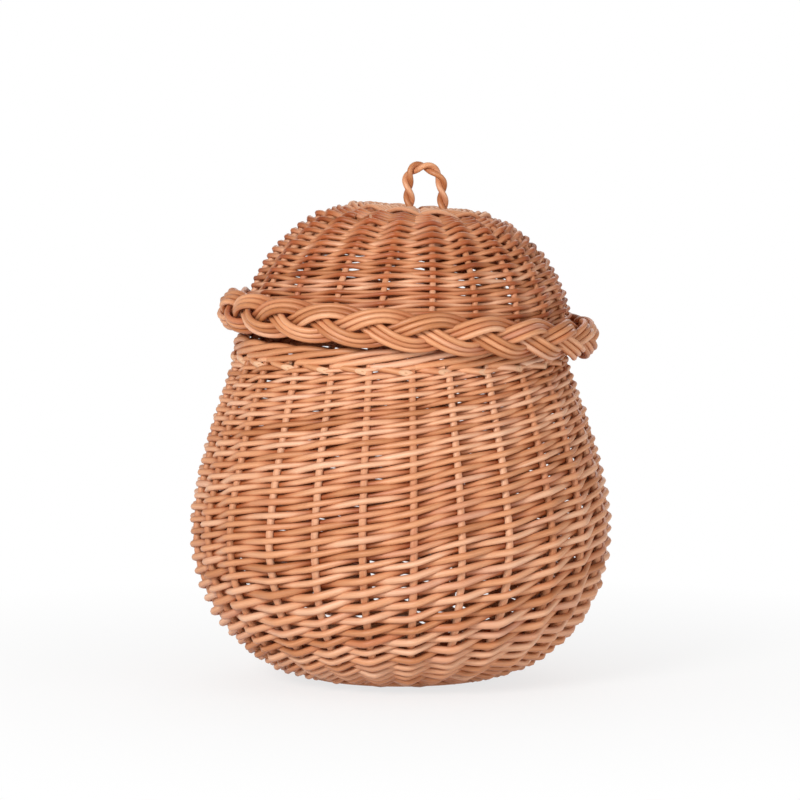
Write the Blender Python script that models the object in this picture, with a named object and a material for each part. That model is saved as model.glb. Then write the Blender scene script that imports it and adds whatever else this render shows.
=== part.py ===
"""Onion basket of peeled willow: a round woven body on upright stakes and a loose domed lid.

The origin is at the bottom centre, on the floor. +Z is up and -Y is the front.
Every size is in metres.
"""

from math import atan2, ceil, cos, hypot, pi, radians, sin, sqrt

import bmesh
import bpy
from mathutils import Matrix, Vector

# Body: the wall line is the centre line of its stakes
BODY_STAKES = 25
BASE_RADIUS = 0.0600
HEEL_INSET = 0.0080
BELLY_RADIUS = 0.1472
BELLY_HEIGHT = 0.1120
MOUTH_RADIUS = 0.1135
MOUTH_HEIGHT = 0.2325
HEEL_ROUND = 1.9
HEEL_SPREAD = 0.46
SHOULDER_ROUND = 1.45

# Base: a woven disc on crossed sticks, which the lid's top repeats
BASE_THICKNESS = 0.0130
DISC_ROW_PITCH = 0.0145
DISC_ROW_DEPTH = 0.0014
FOOT_WIDTH = 0.0120
CROSS_STICKS = 3
CROSS_STICK_THICKNESS = 0.0042
CROSS_WINDOW_RADIUS = 0.0130
CROSS_SEAT = 0.0040

# Stakes of the body
STAKE_THICKNESS = 0.0046
STAKE_TIP_THICKNESS = 0.0038
SOCKET_DEPTH = 0.0180
SOCKET_PLAY = 0.0006

# Rows of the body's weave, which get finer towards the mouth
FIRST_ROW_PLAY = 0.0008
HEEL_ROW_PITCH = 0.0145
MOUTH_ROW_PITCH = 0.0116
ROW_GAP = 0.0012
ROW_THICKNESS = 0.0034
WEAVE_PLAY = 0.0004

# Rolled border on the body's mouth: a rope of rods, one slant for each stake
BORDER_ROD_THICKNESS = 0.0044
BORDER_RODS = 3
BORDER_PLAY = 0.0005
SEAT_PLAY = 0.0003

# Lid: its own frame has the plait's middle at zero height
LID_STAKES = 21
LID_INSET = 0.0013
LID_HEIGHT = 0.0785
LID_ROUND = 1.85
LID_SPREAD = 0.68
LID_STAKE_THICKNESS = 0.0040
LID_STAKE_TIP_THICKNESS = 0.0034
LID_TOP_RADIUS = 0.0530
LID_TOP_THICKNESS = 0.0110
LID_CROWN_INSET = 0.0070
LID_SOCKET_DEPTH = 0.0140
LID_ROW_PITCH = 0.0115
LID_ROW_THICKNESS = 0.0032

# Flare: below the last row the lid's stakes turn out to the plait
FLARE_HEIGHT = 0.0030
FLARE_REACH = 0.0074
FLARE_DROP = 0.0065
FLARE_PLAY = 0.0007

# Plait round the lid's rim: three strands, with one hump to each of the lid's stakes
PLAIT_STRANDS = 3
PLAIT_WAVE_HEIGHT = 0.0092
PLAIT_WAVE_DEPTH = 0.0062
PLAIT_STRAND_WIDTH = 0.0100
PLAIT_STRAND_THICKNESS = 0.0040
PLAIT_LEAN = 0.25
PLAIT_TWIST = 0.10

# How the loose lid sits: off centre, its right side down and its front up
LID_SHIFT = 0.0057
LID_SETTLE = 0.0081
LID_RIGHT_DOWN = radians(4.75)
LID_FRONT_UP = radians(3.1)

# Loop on the lid: one rod doubled back and twisted on itself
LOOP_SPAN = 0.0240
LOOP_RISE = 0.0283
LOOP_OFFSET = 0.0060
LOOP_LEAN_SHARE = 0.16
LOOP_ROD_THICKNESS = 0.0040
LOOP_TWIST_GAP = 0.0004
LOOP_TURNS = 3.5
LOOP_FOOT_DEPTH = 0.0080

# Shares along a piece, from its start to its end
DISC_EDGE_SHARES = ((0.35, 0.0), (0.0, 0.3), (0.0, 0.7), (0.35, 1.0))
STRAND_END_SHARE = 0.03
STEEPEST_SLANT_SHARE = 0.9
CROSS_LAP_SHARE = 0.4

# Outlines of a strand's section, in halves of its thickness and width
LOZENGE_SHARES = ((0.0, 1.0), (1.0, 0.0), (0.0, -1.0), (-1.0, 0.0))
RIBBON_SHARES = ((-0.45, 0.95), (0.45, 0.95), (1.0, 0.0), (0.45, -0.95), (-0.45, -0.95), (-1.0, 0.0))

# Steps along curved lines
OUTLINE_STEPS = 96
STAKE_STEPS = 9
STAKE_CROWDING = 1.35
LID_STAKE_STEPS = 7
FLARE_STEPS = 8
PLAIT_STEPS_PER_WAVE = 6
LOOP_STEPS = 19
BORDER_STEPS_PER_STAKE = 2
STICK_SIDES = 6
SOCKET_SIDES = 4
LOOP_HOLE_SIDES = 8
MERGE_DISTANCE = 0.00003

WILLOW = {
    "stake": (0.62, 0.34, 0.18, 1.0),
    "weave": (0.72, 0.42, 0.24, 1.0),
    "rim": (0.70, 0.39, 0.21, 1.0),
    "base": (0.60, 0.33, 0.18, 1.0),
}
WILLOW_ROUGHNESS = 0.5


def clear_scene():
    for old in list(bpy.data.objects):
        bpy.data.objects.remove(old)


def collection(name):
    group = bpy.data.collections.new(name)
    bpy.context.scene.collection.children.link(group)
    return group


def willow(name, tone):
    material = bpy.data.materials.new(name)
    material.use_nodes = True
    shader = material.node_tree.nodes["Principled BSDF"]
    shader.inputs["Base Color"].default_value = WILLOW[tone]
    shader.inputs["Roughness"].default_value = WILLOW_ROUGHNESS
    shader.inputs["Metallic"].default_value = 0.0
    return material


def add(name, data, tone, group, parent=None):
    piece = bpy.data.objects.new(name, data)
    data.materials.append(willow(name, tone))
    group.objects.link(piece)
    piece.parent = parent
    return piece


# Outlines


class Outline:
    """A wall line in radius and height, walked by its length."""

    def __init__(self, points):
        self.points = points
        self.lengths = [0.0]
        for (r0, z0), (r1, z1) in zip(points, points[1:]):
            self.lengths.append(self.lengths[-1] + hypot(r1 - r0, z1 - z0))
        self.length = self.lengths[-1]

    def at(self, length):
        """Radius, height, and the direction (along, out) of the wall at this length."""
        last = len(self.points) - 2
        index = 0
        while index < last and self.lengths[index + 1] < length:
            index += 1
        (r0, z0), (r1, z1) = self.points[index], self.points[index + 1]
        step = self.lengths[index + 1] - self.lengths[index]
        share = (length - self.lengths[index]) / step
        along = Vector(((r1 - r0) / step, (z1 - z0) / step))
        place = Vector((r0, z0)).lerp(Vector((r1, z1)), share)
        return place, along, Vector((along.y, -along.x))

    def stepped(self, start, steps, crowding=1.0):
        """The same line from start on in a few straight steps, crowded towards the start."""
        points = []
        for step in range(steps + 1):
            place, _, _ = self.at(start + (self.length - start) * (step / steps) ** crowding)
            points.append(tuple(place))
        return Outline(points)

    def length_at_radius(self, radius):
        """The first length at which the line reaches this radius."""
        for index, ((r0, _), (r1, _)) in enumerate(zip(self.points, self.points[1:])):
            if r0 <= radius <= r1:
                step = self.lengths[index + 1] - self.lengths[index]
                return self.lengths[index] + step * (radius - r0) / (r1 - r0)
        return self.length


def body_wall():
    """The body's stakes, from the base edge out round the heel to the belly, then in to the mouth."""
    heel_radius = BASE_RADIUS - HEEL_INSET
    heel_height = BASE_THICKNESS / 2
    points = []
    for step in range(OUTLINE_STEPS + 1):
        turn = step / OUTLINE_STEPS * pi / 2
        radius = heel_radius + (BELLY_RADIUS - heel_radius) * sin(turn) ** (2 * HEEL_SPREAD)
        height = BELLY_HEIGHT - (BELLY_HEIGHT - heel_height) * cos(turn) ** (2 / HEEL_ROUND)
        points.append((radius, height))
    for step in range(1, OUTLINE_STEPS + 1):
        rise = step / OUTLINE_STEPS
        radius = BELLY_RADIUS - (BELLY_RADIUS - MOUTH_RADIUS) * rise ** SHOULDER_ROUND
        points.append((radius, BELLY_HEIGHT + (MOUTH_HEIGHT - BELLY_HEIGHT) * rise))
    smooth = Outline(points)
    return smooth.stepped(smooth.length_at_radius(BASE_RADIUS), STAKE_STEPS, STAKE_CROWDING)


def lid_wall():
    """The lid's stakes, from the edge of its top over the dome, down to the rim and out to the plait."""
    crown_radius = LID_TOP_RADIUS - LID_CROWN_INSET
    points = []
    for step in range(OUTLINE_STEPS + 1):
        turn = step / OUTLINE_STEPS * pi / 2
        radius = crown_radius + (lid_radius() - crown_radius) * sin(turn) ** (2 * LID_SPREAD)
        height = LID_HEIGHT * cos(turn) ** (2 / LID_ROUND)
        if height > FLARE_HEIGHT:
            points.append((radius, height))
    start_radius, start_height = points[-1]
    reach = plait_inner_radius() - FLARE_PLAY - start_radius
    for step in range(1, FLARE_STEPS + 1):
        turn = step / FLARE_STEPS * pi / 2
        height = start_height - (start_height + FLARE_DROP) * sin(turn)
        points.append((start_radius + reach * (1 - cos(turn)), height))
    smooth = Outline(points)
    return smooth.stepped(smooth.length_at_radius(LID_TOP_RADIUS), LID_STAKE_STEPS)


def lid_radius():
    return MOUTH_RADIUS - LID_INSET


def plait_inner_radius():
    return lid_radius() + FLARE_REACH


def plait_radius():
    """Radius of the plait's middle: where the low strand passes a stake's tip it lies against it."""
    swing = PLAIT_WAVE_DEPTH * sin(pi / PLAIT_STRANDS)
    return plait_inner_radius() + swing + PLAIT_STRAND_THICKNESS / 2


def lid_seat_height():
    """Height of the lid's frame at which its low side just clears the border.

    The flared stakes straddle the border's round top, so they settle over it.
    """
    lean = hypot(sin(LID_RIGHT_DOWN), sin(LID_FRONT_UP))
    below = FLARE_DROP + LID_STAKE_TIP_THICKNESS / 2
    return border_height() + border_reach() + SEAT_PLAY + below + lid_radius() * lean - LID_SETTLE


def round_place(radius, angle, height):
    return Vector((radius * cos(angle), radius * sin(angle), height))


# Rods and strands


def rod(name, places, radii, tone, group, parent=None, bevel_resolution=0):
    """A round tapering rod along places."""
    data = bpy.data.curves.new(name, "CURVE")
    data.dimensions = "3D"
    data.bevel_depth = 1.0
    data.bevel_resolution = bevel_resolution
    data.use_fill_caps = True
    spline = data.splines.new("POLY")
    spline.points.add(len(places) - 1)
    for point, place, radius in zip(spline.points, places, radii):
        point.co = (*place, 1.0)
        point.radius = radius
    return add(name, data, tone, group, parent)


def section(name, width, thickness, shape, group):
    """A closed guide outline that strands are swept from, tall along its own Y."""
    data = bpy.data.curves.new(name, "CURVE")
    data.dimensions = "2D"
    spline = data.splines.new("POLY")
    spline.points.add(len(shape) - 1)
    for point, (out, up) in zip(spline.points, shape):
        point.co = (out * thickness / 2, up * width / 2, 0.0, 1.0)
    spline.use_cyclic_u = True
    guide = bpy.data.objects.new(name, data)
    guide.hide_render = True
    guide.display_type = "WIRE"
    group.objects.link(guide)
    return guide


def strand(name, places, tilts, outline, tone, group, parent=None, closed=False):
    """A flat strand swept along places, its height tilted with the wall."""
    data = bpy.data.curves.new(name, "CURVE")
    data.dimensions = "3D"
    data.twist_mode = "Z_UP"
    data.bevel_mode = "OBJECT"
    data.bevel_object = outline
    data.use_fill_caps = not closed
    spline = data.splines.new("POLY")
    spline.points.add(len(places) - 1)
    for point, place, tilt in zip(spline.points, places, tilts):
        point.co = (*place, 1.0)
        point.tilt = tilt
    spline.use_cyclic_u = closed
    return add(name, data, tone, group, parent)


# Weave


def wave_reach(stake_thickness, row_thickness, spacing):
    """How far a row's middle swings off the wall line, so that it slants past a stake and clears it."""
    straight = stake_thickness / 2 + row_thickness / 2 + WEAVE_PLAY
    return straight / sqrt(1 - min(2 * straight / spacing, STEEPEST_SLANT_SHARE) ** 2)


def first_row(pitch):
    """Length from the disc's edge to the middle of the first row, whose own edge clears it."""
    return FIRST_ROW_PLAY + (pitch - ROW_GAP) / 2


def spiral(start, end, first_pitch, last_pitch, stakes):
    """Lengths along the wall at which one spiral row passes its stakes, one after another."""
    lengths = [start]
    while lengths[-1] < end:
        share = (lengths[-1] - start) / (end - start)
        lengths.append(lengths[-1] + (first_pitch + (last_pitch - first_pitch) * share) / stakes)
    return lengths[:-1]


def weave_bands(names, wall, lengths, stakes, stake_thickness, row_thickness, groups, parent=None):
    """Splits one spiral row into bands, each a single strand in front of and behind turn about."""
    group, guides = groups
    share = ceil((len(lengths) - 1) / len(names))
    for index, name in enumerate(names):
        first = index * share
        last = min(first + share, len(lengths) - 1)
        passes = [first + STRAND_END_SHARE, *range(first + 1, last), last - STRAND_END_SHARE]
        places, tilts = [], []
        widest = (lengths[first + stakes] - lengths[first]) - ROW_GAP
        for number in passes:
            whole = min(int(number), len(lengths) - 2)
            length = lengths[whole] + (lengths[whole + 1] - lengths[whole]) * (number - whole)
            place, along, out = wall.at(length)
            reach = wave_reach(stake_thickness, row_thickness, 2 * pi * place.x / stakes)
            middle = place + out * reach * cos(pi * number)
            places.append(round_place(middle.x, 2 * pi * number / stakes, middle.y))
            tilts.append(atan2(along.x, along.y))
        outline = section(f"{name}_outline", widest, row_thickness, LOZENGE_SHARES, guides)
        strand(name, places, tilts, outline, "weave", group, parent)


# Base and lid top


def disc_profile(radius, thickness, pitch, depth, window, foot):
    """Half outline of a woven disc from its window's top rim, out over the edge and back below."""
    rows = max(2, round((radius - window) / pitch))
    step = (radius - window) / rows
    points = [(window, thickness)]
    for row in range(rows - 1):
        inner = window + row * step
        points.append((inner + step / 2, thickness))
        points.append((inner + step, thickness - depth))
    for out_share, down_share in DISC_EDGE_SHARES:
        points.append((radius - out_share * step, thickness * (1 - down_share)))
    points.append((radius - foot, 0.0))
    points.append((window, depth))
    return points


def turned(name, profile, steps, height):
    """A ring turned round Z from a closed half outline, with a flat side facing each stake."""
    mesh = bpy.data.meshes.new(name)
    shape = bmesh.new()
    start = pi / steps
    corners = [shape.verts.new(round_place(radius, start, height + up)) for radius, up in profile]
    edges = [shape.edges.new(pair) for pair in zip(corners, corners[1:] + corners[:1])]
    bmesh.ops.spin(
        shape, geom=corners + edges, axis=(0, 0, 1), cent=(0, 0, 0), angle=2 * pi, steps=steps, use_merge=True
    )
    bmesh.ops.remove_doubles(shape, verts=shape.verts, dist=MERGE_DISTANCE)
    bmesh.ops.recalc_face_normals(shape, faces=shape.faces)
    shape.to_mesh(mesh)
    shape.free()
    return mesh


def bars(name, radius, runs, sides=STICK_SIDES):
    """Mesh of round bars, each between the two points of its run."""
    shape = bmesh.new()
    for start, end in runs:
        axis = end - start
        made = bmesh.ops.create_cone(
            shape, cap_ends=True, segments=sides, radius1=radius, radius2=radius, depth=axis.length
        )
        turn = axis.to_track_quat("Z", "Y").to_matrix().to_4x4()
        bmesh.ops.transform(shape, matrix=Matrix.Translation((start + end) / 2) @ turn, verts=made["verts"])
    mesh = bpy.data.meshes.new(name)
    shape.to_mesh(mesh)
    shape.free()
    return mesh


def combine(piece, mesh, operation, cutters):
    """Adds mesh to a piece, or cuts it out of it."""
    cutter = bpy.data.objects.new(mesh.name, mesh)
    cutter.hide_render = True
    cutter.display_type = "WIRE"
    cutter.parent = piece.parent
    cutters.objects.link(cutter)
    change = piece.modifiers.new(mesh.name, "BOOLEAN")
    change.operation = operation
    change.object = cutter


def woven_disc(name, radius, thickness, height, wall, stakes, depth, socket_radius, groups, parent=None):
    """The ribbed disc with its crossed sticks, and a socket in its edge for every stake."""
    group, cutters = groups
    profile = disc_profile(radius, thickness, DISC_ROW_PITCH, DISC_ROW_DEPTH, CROSS_WINDOW_RADIUS, FOOT_WIDTH)
    disc = add(name, turned(name, profile, stakes, height), "base", group, parent)
    middle = height + thickness / 2
    length = CROSS_WINDOW_RADIUS + CROSS_SEAT
    spread = CROSS_STICK_THICKNESS + WEAVE_PLAY
    for layer, angle in ((-1, 0.0), (1, pi / 2)):
        along = Vector((cos(angle), sin(angle), 0.0))
        across = Vector((-sin(angle), cos(angle), 0.0))
        rise = Vector((0.0, 0.0, middle + layer * CROSS_STICK_THICKNESS * CROSS_LAP_SHARE))
        runs = []
        for stick in range(CROSS_STICKS):
            centre = across * (stick - (CROSS_STICKS - 1) / 2) * spread + rise
            runs.append((centre - along * length, centre + along * length))
        mesh = bars(f"{name}_sticks", CROSS_STICK_THICKNESS / 2, runs)
        combine(disc, mesh, "UNION", cutters)
    _, edge_height = wall.points[0]
    runs = []
    for number in range(stakes):
        angle = 2 * pi * number / stakes
        inner = round_place(radius - depth, angle, middle)
        outer = round_place(radius, angle, edge_height)
        runs.append((inner, outer + (outer - inner)))
    combine(disc, bars(f"{name}_sockets", socket_radius, runs, SOCKET_SIDES), "DIFFERENCE", cutters)
    return disc


# Pieces


def stakes(names, wall, foot_height, socket_depth, thickness, tip_thickness, group, parent=None):
    """Tapering stakes: each starts in its socket and follows the wall to its end."""
    (edge_radius, edge_height), *rest = wall.points
    inner = (edge_radius - socket_depth + SOCKET_PLAY, foot_height)
    line = [inner, (edge_radius, edge_height), *rest]
    radii = [thickness / 2]
    for length in wall.lengths:
        share = length / wall.length
        radii.append(((1 - share) * thickness + share * tip_thickness) / 2)
    for number, name in enumerate(names):
        angle = 2 * pi * number / len(names)
        places = [round_place(radius, angle, height) for radius, height in line]
        rod(name, places, radii, "stake", group, parent)


def body_weave(wall, groups):
    names = ("upsett", "lower_siding", "middle_siding", "upper_siding", "shoulder_siding")
    start = first_row(HEEL_ROW_PITCH)
    end = wall.length - MOUTH_ROW_PITCH / 2
    lengths = spiral(start, end, HEEL_ROW_PITCH, MOUTH_ROW_PITCH, BODY_STAKES)
    weave_bands(names, wall, lengths, BODY_STAKES, STAKE_THICKNESS, ROW_THICKNESS, groups)


def border_roll():
    """How far the rope rolls from one step of its rods to the next."""
    return 2 * pi / (BORDER_RODS * BORDER_STEPS_PER_STAKE)


def border_rope_radius():
    """Least radius of the rope's core circle at which its rods clear each other, also halfway along a step."""
    return (BORDER_ROD_THICKNESS + BORDER_PLAY) / (2 * sin(pi / BORDER_RODS) * cos(border_roll() / 2))


def border_reach():
    return border_rope_radius() + BORDER_ROD_THICKNESS / 2


def border_height():
    return MOUTH_HEIGHT + SEAT_PLAY + border_reach()


def rim_border(group):
    """One rod that runs round three times and rolls over itself once for every third stake."""
    swing = border_rope_radius()
    steps = BODY_STAKES * BORDER_STEPS_PER_STAKE * BORDER_RODS
    places = []
    for step in range(steps):
        angle = 2 * pi * step / (BODY_STAKES * BORDER_STEPS_PER_STAKE)
        roll = border_roll() * step + pi / 2
        height = border_height() - swing * sin(roll)
        places.append(round_place(MOUTH_RADIUS + swing * cos(roll), angle, height))
    radii = [BORDER_ROD_THICKNESS / 2] * steps
    rope = rod("rim_border", places, radii, "rim", group, bevel_resolution=1)
    rope.data.splines[0].use_cyclic_u = True


def lid_weave(wall, groups, seat):
    names = ("lid_crown_weave", "lid_side_weave")
    start = first_row(LID_ROW_PITCH)
    end = wall.length - FLARE_REACH - FLARE_HEIGHT - FLARE_DROP
    lengths = spiral(start, end, LID_ROW_PITCH, LID_ROW_PITCH, LID_STAKES)
    weave_bands(names, wall, lengths, LID_STAKES, LID_STAKE_THICKNESS, LID_ROW_THICKNESS, groups, seat)


def lid_plait(groups, seat):
    """The plait: three closed strands that wave up and down in turn, each on top as it leaves the middle."""
    group, guides = groups
    outline = section("lid_plait_outline", PLAIT_STRAND_WIDTH, PLAIT_STRAND_THICKNESS, RIBBON_SHARES, guides)
    waves = round(LID_STAKES / PLAIT_STRANDS)
    steps = waves * PLAIT_STEPS_PER_WAVE
    for number in range(PLAIT_STRANDS):
        places = []
        tilts = []
        for step in range(steps):
            angle = 2 * pi * step / steps
            wave = waves * angle + 2 * pi * number / PLAIT_STRANDS + pi
            radius = plait_radius() + PLAIT_WAVE_DEPTH * sin(2 * wave)
            places.append(round_place(radius, angle, PLAIT_WAVE_HEIGHT * sin(wave)))
            tilts.append(PLAIT_LEAN * cos(wave) + PLAIT_TWIST * cos(3 * wave))
        strand(f"lid_plait_strand_{number + 1}", places, tilts, outline, "rim", group, seat, closed=True)


def loop_line(share):
    """Middle line of the loop: up from one foot, over and down to the other."""
    foot = LOOP_FOOT_DEPTH
    half = LOOP_SPAN / 2
    straight = LOOP_RISE - half + foot
    length = 2 * straight + pi * half
    walked = share * length
    if walked < straight:
        return Vector((-half, 0.0, walked - foot)), Vector((0.0, 0.0, 1.0))
    if walked > straight + pi * half:
        return Vector((half, 0.0, length - walked - foot)), Vector((0.0, 0.0, -1.0))
    turn = pi - (walked - straight) / half
    place = Vector((half * cos(turn), 0.0, straight - foot + half * sin(turn)))
    return place, Vector((sin(turn), 0.0, -cos(turn)))


def loop_reach():
    """Least reach of the twisted rod's middle at which its two passes clear each other, also between steps."""
    return (LOOP_ROD_THICKNESS + LOOP_TWIST_GAP) / (2 * cos(pi * LOOP_TURNS / LOOP_STEPS))


def loop_handle(group, seat):
    """One rod that goes over the loop, doubles back and twists round itself, leaning left above the top."""
    reach = loop_reach()
    across = Vector((0.0, 1.0, 0.0))
    places = []
    for side, shares in ((0, range(LOOP_STEPS + 1)), (1, range(LOOP_STEPS, -1, -1))):
        for step in shares:
            share = step / LOOP_STEPS
            place, along = loop_line(share)
            out = across.cross(along)
            roll = 2 * pi * LOOP_TURNS * share + pi * side
            places.append(place + (out * cos(roll) + across * sin(roll)) * reach)
    offset = Vector((LOOP_OFFSET, 0.0, LID_HEIGHT + LID_TOP_THICKNESS / 2))
    for place in places:
        place.x -= LOOP_LEAN_SHARE * max(0.0, place.z)
    places = [place + offset for place in places]
    rod("loop_handle", places, [LOOP_ROD_THICKNESS / 2] * len(places), "rim", group, seat, bevel_resolution=1)


def loop_holes(top, cutters):
    """Two gaps in the lid's top through which the loop's feet pass."""
    radius = loop_reach() + LOOP_ROD_THICKNESS / 2 + SOCKET_PLAY
    low = Vector((0.0, 0.0, LID_HEIGHT - LID_TOP_THICKNESS))
    high = Vector((0.0, 0.0, LID_HEIGHT + LID_TOP_THICKNESS))
    runs = []
    for side in (-1, 1):
        aside = Vector((LOOP_OFFSET + side * LOOP_SPAN / 2, 0.0, 0.0))
        runs.append((low + aside, high + aside))
    combine(top, bars("loop_holes", radius, runs, LOOP_HOLE_SIDES), "DIFFERENCE", cutters)


def main():
    clear_scene()
    group = collection("onion_basket")
    cutters = collection("cutters")
    groups = (group, cutters)

    wall = body_wall()
    socket = STAKE_THICKNESS / 2 + SOCKET_PLAY
    woven_disc("base", BASE_RADIUS, BASE_THICKNESS, 0.0, wall, BODY_STAKES, SOCKET_DEPTH, socket, groups)
    names = [f"side_stake_{number + 1:02d}" for number in range(BODY_STAKES)]
    stakes(names, wall, BASE_THICKNESS / 2, SOCKET_DEPTH, STAKE_THICKNESS, STAKE_TIP_THICKNESS, group)
    body_weave(wall, groups)
    rim_border(group)

    seat = bpy.data.objects.new("lid_seat", None)
    group.objects.link(seat)
    seat.location = (LID_SHIFT, 0.0, lid_seat_height())
    seat.rotation_euler = (-LID_FRONT_UP, LID_RIGHT_DOWN, 0.0)
    dome = lid_wall()
    lid_socket = LID_STAKE_THICKNESS / 2 + SOCKET_PLAY
    top = woven_disc(
        "lid_top", LID_TOP_RADIUS, LID_TOP_THICKNESS, LID_HEIGHT - LID_TOP_THICKNESS / 2, dome,
        LID_STAKES, LID_SOCKET_DEPTH, lid_socket, groups, seat,
    )
    loop_holes(top, cutters)
    names = [f"lid_stake_{number + 1:02d}" for number in range(LID_STAKES)]
    stakes(
        names, dome, LID_HEIGHT, LID_SOCKET_DEPTH, LID_STAKE_THICKNESS, LID_STAKE_TIP_THICKNESS, group, seat
    )
    lid_weave(dome, groups, seat)
    lid_plait(groups, seat)
    loop_handle(group, seat)


main()
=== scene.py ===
# Looks of the onion basket: each willow rod is a tube of its own, woven round the stakes as on the real one.
# Lengths are in metres. A place along the weave is counted in stakes: 1 is the way from a stake to the next.

from math import atan2, cos, pi, radians, sin
from random import Random

import bpy
import numpy as np
from mathutils import Euler, Matrix, Vector


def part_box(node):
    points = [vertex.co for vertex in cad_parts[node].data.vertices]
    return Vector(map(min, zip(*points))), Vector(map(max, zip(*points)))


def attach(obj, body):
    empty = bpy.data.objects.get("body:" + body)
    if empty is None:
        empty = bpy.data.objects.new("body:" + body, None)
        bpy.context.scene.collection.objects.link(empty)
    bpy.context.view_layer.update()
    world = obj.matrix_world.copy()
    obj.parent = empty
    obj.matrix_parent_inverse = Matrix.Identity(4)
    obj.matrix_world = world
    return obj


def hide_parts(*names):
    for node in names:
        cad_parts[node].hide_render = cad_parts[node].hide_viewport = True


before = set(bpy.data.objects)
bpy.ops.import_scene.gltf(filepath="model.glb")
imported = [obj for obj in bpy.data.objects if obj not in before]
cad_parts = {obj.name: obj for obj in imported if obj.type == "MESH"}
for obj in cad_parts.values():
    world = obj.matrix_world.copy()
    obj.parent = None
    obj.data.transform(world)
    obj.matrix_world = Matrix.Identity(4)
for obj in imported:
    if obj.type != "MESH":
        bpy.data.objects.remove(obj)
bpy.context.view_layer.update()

# Camera: the photograph's frame, seen from far off and a little above
FRAME_PIXELS = 800
PIXEL_SIZE = 0.0007126
CAMERA_DISTANCE = 5.0
CAMERA_RISE = radians(6.2)
CAMERA_CLIP = 20.0
AIM = Vector((-0.0002, 0.0, 0.2003))
SENSOR_WIDTH = 36.0

# Body wall, the line of its stakes, which come out of the base at a share of its thickness. Pairs of sizes
# are those of a rod's thick end and its tip
BODY_STAKES = 25
BODY_STAKE_SIZES = (0.0062, 0.0050)
BODY_FOOT_SHARE = 0.62
BODY_FOOT_INSET = 0.0120
HEEL_INSET = 0.0080
HEEL_ROUND = 1.9
HEEL_SPREAD = 0.46
BELLY_HEIGHT = 0.1120
SHOULDER_ROUND = 1.45
WALL_POINTS = 400

# How far the belly's line is let out, and the share of the way up where its rods reach furthest
BELLY_EASE = 0.0014
BELLY_SHARE = 0.4

# Rows of rods, by share of the way along the wall: the height of two rods, one in front and one behind, the
# thickness of one, and its press, which is how far the stakes push it out and in: at 1 it just touches them
ROW_HEIGHT, ROD_THICKNESS, PRESS = 1, 2, 3
BODY_RODS = 37
BODY_FIRST_ROW = 0.0095
BODY_LAST_ROW = 0.0018
BODY_ROWS = (
    (0.0, 0.0070, 0.0040, 0.60),
    (0.27, 0.0094, 0.0051, 0.82),
    (0.38, 0.0108, 0.0057, 0.76),
    (0.52, 0.0088, 0.0047, 0.66),
    (0.64, 0.0086, 0.0047, 0.64),
    (0.76, 0.0077, 0.0043, 0.64),
    (0.86, 0.0063, 0.0038, 0.62),
    (1.0, 0.0058, 0.0035, 0.62),
)
LID_RODS = 31
LID_FIRST_ROW = 0.0118
LID_LAST_ROW = 0.0045
LID_ROWS = (
    (0.0, 0.0074, 0.0041, 0.95),
    (0.3, 0.0066, 0.0038, 0.85),
    (0.6, 0.0060, 0.0034, 0.72),
    (1.0, 0.0056, 0.0031, 0.68),
)

# Wales at the foot and round the lid's top: three rods that go in front of two stakes and behind one
WALE_RODS = 3
WALE_CROSSINGS = (1.0, 1.0, -1.0, 1.0)
WALE_FIRST_ROW = 0.0010
FOOT_WALE_ROUNDS = 2
FOOT_WALE_PITCH = 0.0042
FOOT_WALE_THICKNESS = 0.0040
FOOT_WALE_DEPTH = 1.0
CROWN_WALE_ROUNDS = 3
CROWN_WALE_PITCH = 0.0037
CROWN_WALE_THICKNESS = 0.0036
CROWN_WALE_DEPTH = 0.6

# Lid: its own frame has the plait's middle at zero height
LID_STAKES = 21
LID_STAKE_SIZES = (0.0050, 0.0040)
LID_FOOT_INSET = 0.0100
LID_RADIUS = 0.1138
LID_HEIGHT = 0.0785
LID_ROUND = 1.85
LID_SPREAD = 0.68
LID_TOP_RADIUS = 0.0530
LID_TOP_THICKNESS = 0.0110
LID_CROWN_INSET = 0.0070
LID_RIGHT_DOWN = radians(4.75)
LID_FRONT_UP = radians(3.1)

# Flare: the last of the lid's wall, which turns out under the plait
FLARE_HEIGHT = 0.0030
FLARE_REACH = 0.0110
FLARE_DROP = 0.0060
FLARE_POINTS = 100

# Border: each stake of the body leans over and rolls round the rim, and its slanted end comes out in front.
# A turn is (place from the stake, swings out, swings up)
BORDER_SIZES = (0.0053, 0.0046)
BORDER_SWING_UP = 0.0050
BORDER_SWING_OUT = 0.0029
BORDER_SETTLE = 0.0012
BORDER_CUT_SLANT = 2.3
BORDER_STEPS = 8
BORDER_TURNS = (
    (0.0, 0.0, -2.2), (0.0, 0.1, -1.35), (0.12, 0.6, -0.95), (0.5, 0.95, -0.72), (1.1, 1.0, -0.2),
    (1.7, 0.8, 0.5), (2.35, 0.1, 1.0), (2.9, -0.8, 0.62), (3.4, -1.0, -0.2), (3.8, -1.2, -1.0),
    (4.04, -1.0, -1.25), (4.22, 0.2, -1.3), (4.44, 1.4, -1.32), (4.86, 1.95, -1.62),
)

# The mouth isn't level: it is lowest here, at the back on the right, and rises towards the other side
RIM_RISE = 0.0045
RIM_RISE_FROM = 0.150
RIM_LOW_BEARING = radians(50)

# Plait: three bundles of three rods, one hump to each of the lid's stakes. The spacing is a share of a rod's
# thickness, and a bundle's ends meet where it is under another one
PLAIT_BUNDLES = 3
PLAIT_BUNDLE_RODS = 3
PLAIT_ROD_THICKNESS = 0.0043
PLAIT_ROD_SPACING = 0.98
PLAIT_WAVE_HEIGHT = 0.0095
PLAIT_WAVE_DEPTH = 0.0034
PLAIT_JOIN_WAVE = 0.75 * pi
PLAIT_LEAN = radians(40)
# How strongly the plait's rods get painted shade on the sides that lie on the other bundles
PLAIT_PAINTED_SHADE = 0.6
PLAIT_STEPS = 26

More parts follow.
